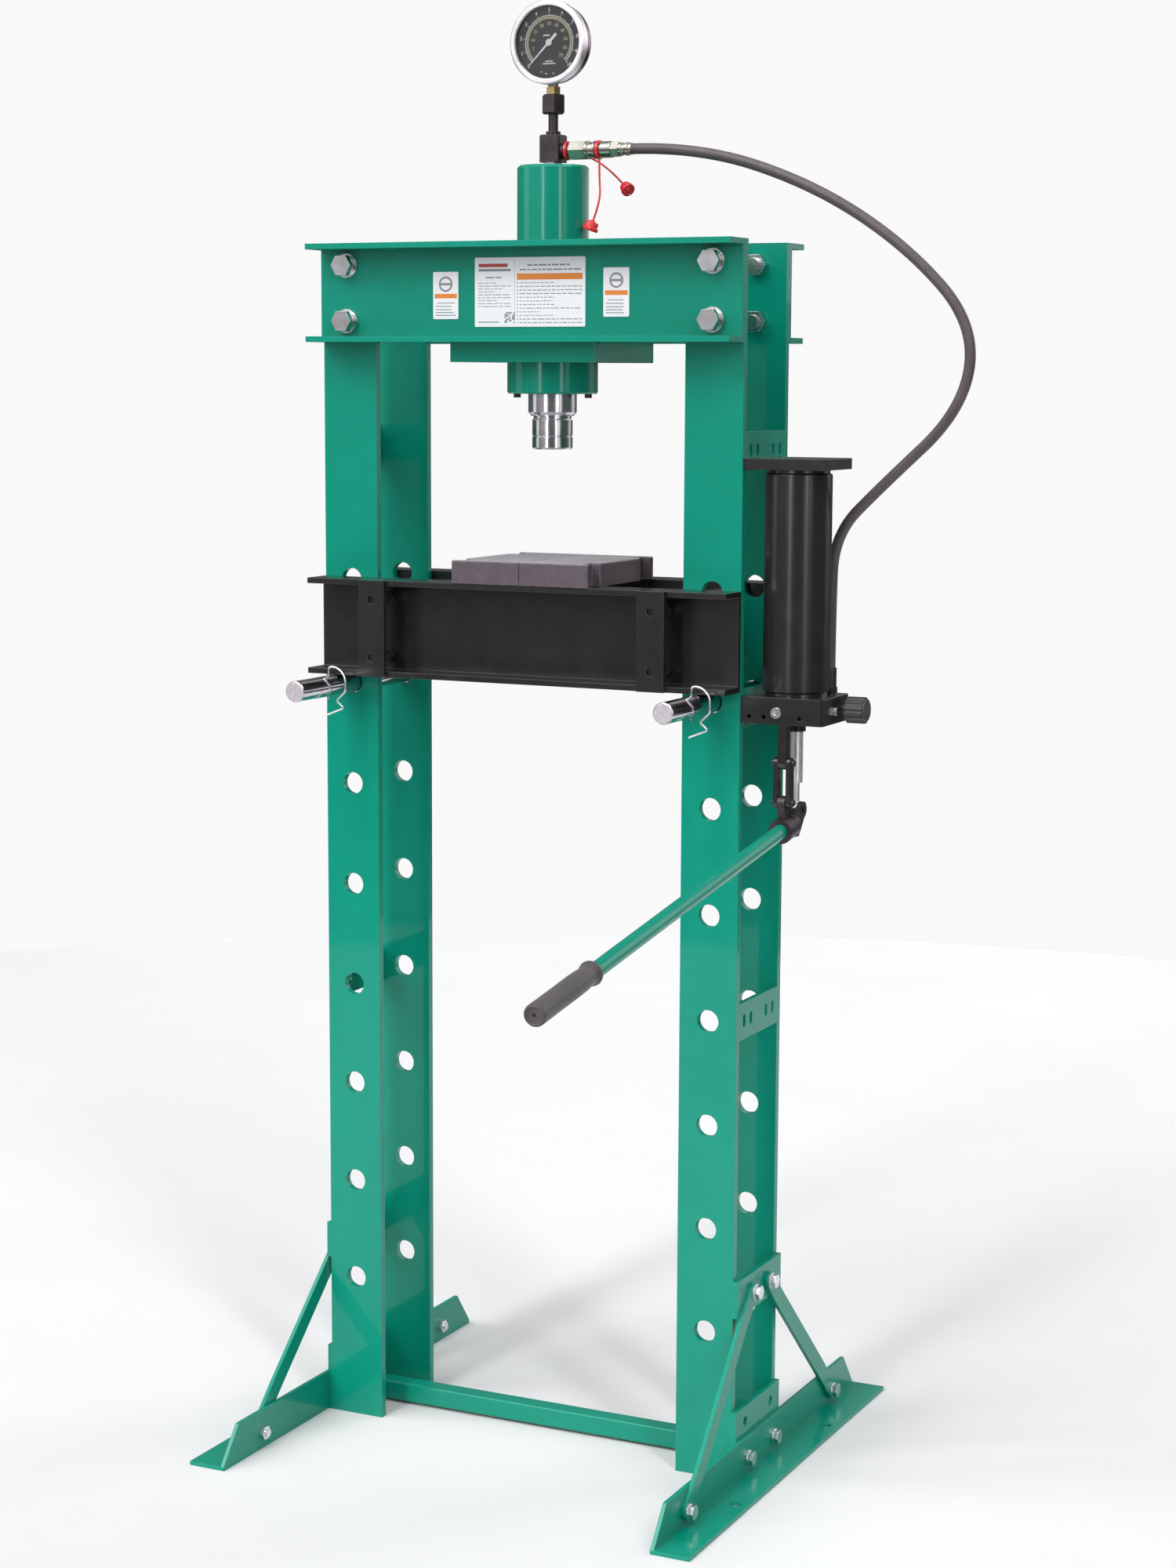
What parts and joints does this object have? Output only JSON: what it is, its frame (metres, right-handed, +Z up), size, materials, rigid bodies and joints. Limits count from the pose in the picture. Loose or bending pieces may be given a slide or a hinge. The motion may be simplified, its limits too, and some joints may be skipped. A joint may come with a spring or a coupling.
{
  "type": "hydraulic shop press",
  "caption": "Floor-standing hydraulic shop press with an H-shaped frame, movable pinned bed, hand pump with lever handle, gauge and hose-fed ram.",
  "frame": {"origin": "on the floor, centred between the four floor bolt holes, under the ram's axis", "axes": "+X to the pump's side, -Y to the front where the handle points, +Z up along the ram's axis"},
  "size_m": [0.8821, 1.0413, 1.8],
  "materials": {
    "green_paint": "glossy teal-green enamel",
    "black_paint": "satin black enamel",
    "plate_paint": "dark purple-grey enamel",
    "zinc": "bright zinc plate",
    "chrome": "polished hard chrome",
    "blackened_steel": "black oxide",
    "brass": "machined",
    "dial_face": "matt black with printed scale",
    "pointer_white": "white",
    "gauge_glass": "clear",
    "red_plastic": "glossy red",
    "hose_rubber": "smooth dark rubber",
    "grip_rubber": "matt dark rubber",
    "black_plastic": "satin black"
  },
  "bodies": {
    "frame": {"post_flats_left": "green_paint", "post_flats_right": "green_paint", "cross_plates_left": "green_paint", "cross_plates_right": "green_paint", "top_beam_front": "green_paint", "top_beam_rear": "green_paint", "head_plate": "green_paint", "cylinder_barrel": "green_paint", "cylinder_collar": "green_paint", "foot_left": "green_paint", "foot_right": "green_paint", "braces_left": "green_paint", "braces_right": "green_paint", "tie_bar": "green_paint", "pump_block": "black_paint", "pump_tank": "black_paint", "pump_top_plate": "black_paint", "beam_bolts": "zinc", "beam_washers": "zinc", "foot_bolts": "zinc", "foot_washers": "zinc", "tee_nipple": "zinc", "coupler_plug": "zinc", "coupler_socket": "zinc", "hose_end_top": "zinc", "pump_plugs": "zinc", "gauge_case": "zinc", "gauge_bezel": "zinc", "collar_screws": "blackened_steel", "gauge_connector": "blackened_steel", "tee_block": "blackened_steel", "pump_outlet": "blackened_steel", "gauge_stem": "brass", "gauge_dial": "dial_face", "gauge_glass": "gauge_glass", "cap_rings": "red_plastic", "cap_strap_near": "red_plastic", "cap_strap_far": "red_plastic", "dust_cap_near": "red_plastic", "dust_cap_far": "red_plastic", "hose": "hose_rubber"},
    "ram": {"ram": "chrome", "ram_nose": "chrome"},
    "bed": {"bed_channel_front": "black_paint", "bed_channel_rear": "black_paint", "bed_stiffeners": "black_paint", "bed_bolts": "zinc"},
    "arbor_left": {"arbor_plate_left": "plate_paint"},
    "arbor_right": {"arbor_plate_right": "plate_paint"},
    "pin_left": {"bed_pin_left": "chrome"},
    "pin_right": {"bed_pin_right": "chrome"},
    "clip_left": {"pin_clip_left": "zinc"},
    "clip_right": {"pin_clip_right": "zinc"},
    "link": {"pump_link": "black_paint"},
    "handle": {"handle_socket": "blackened_steel", "handle_tube": "green_paint", "handle_grip": "grip_rubber"},
    "plunger": {"pump_plunger": "chrome"},
    "knob": {"release_knob": "black_plastic"},
    "pointer": {"gauge_pointer": "pointer_white"}
  },
  "joints": [
    {"name": "ram_slide", "type": "slide", "parent": "frame", "child": "ram", "axis": [0, 0, -1], "range_m": [0, 0.13], "stiffness_N_per_m": 1000, "springref_m": -0.15},
    {"name": "bed_lift", "type": "slide", "parent": "frame", "child": "bed", "axis": [0, 0, -1], "range_m": [-0.12, 0]},
    {"name": "arbor_left_slide", "type": "slide", "parent": "bed", "child": "arbor_left", "axis": [0, 1, 0], "range_m": [-0.05, 0.05]},
    {"name": "arbor_right_slide", "type": "slide", "parent": "bed", "child": "arbor_right", "axis": [0, 1, 0], "range_m": [-0.05, 0.05]},
    {"name": "pin_left_slide", "type": "slide", "parent": "frame", "child": "pin_left", "axis": [0, -1, 0], "range_m": [0, 0.3]},
    {"name": "pin_right_slide", "type": "slide", "parent": "frame", "child": "pin_right", "axis": [0, -1, 0], "range_m": [0, 0.3]},
    {"name": "clip_left_swivel", "type": "hinge", "parent": "pin_left", "child": "clip_left", "pos_m": [-0.2475, -0.128, 0.965], "axis": [0, 0, 1], "range_deg": [-45, 25]},
    {"name": "clip_right_swivel", "type": "hinge", "parent": "pin_right", "child": "clip_right", "pos_m": [0.2475, -0.128, 0.965], "axis": [0, 0, 1], "range_deg": [-45, 25]},
    {"name": "link_swing", "type": "hinge", "parent": "frame", "child": "link", "pos_m": [0.338, -0.06, 0.896], "axis": [1, 0, 0], "range_deg": [-2.4, 0]},
    {"name": "handle_pivot", "type": "hinge", "parent": "link", "child": "handle", "pos_m": [0.338, -0.06, 0.848], "axis": [1, 0, 0], "range_deg": [0, 36]},
    {"name": "plunger_slide", "type": "slide", "parent": "frame", "child": "plunger", "axis": [0, 0, 1], "range_m": [0, 0.027]},
    {"name": "release_knob_turn", "type": "hinge", "parent": "frame", "child": "knob", "pos_m": [0.4, -0.003, 0.957], "axis": [1, 0, 0], "range_deg": [0, 360]},
    {"name": "gauge_pointer_turn", "type": "hinge", "parent": "frame", "child": "pointer", "pos_m": [0, -0.0123, 1.75], "axis": [0, 1, 0], "range_deg": [0, 270]}
  ],
  "couplings": [
    {"joint": "plunger_slide", "follows": "handle_pivot", "m_per_rad": 0.04134}
  ]
}
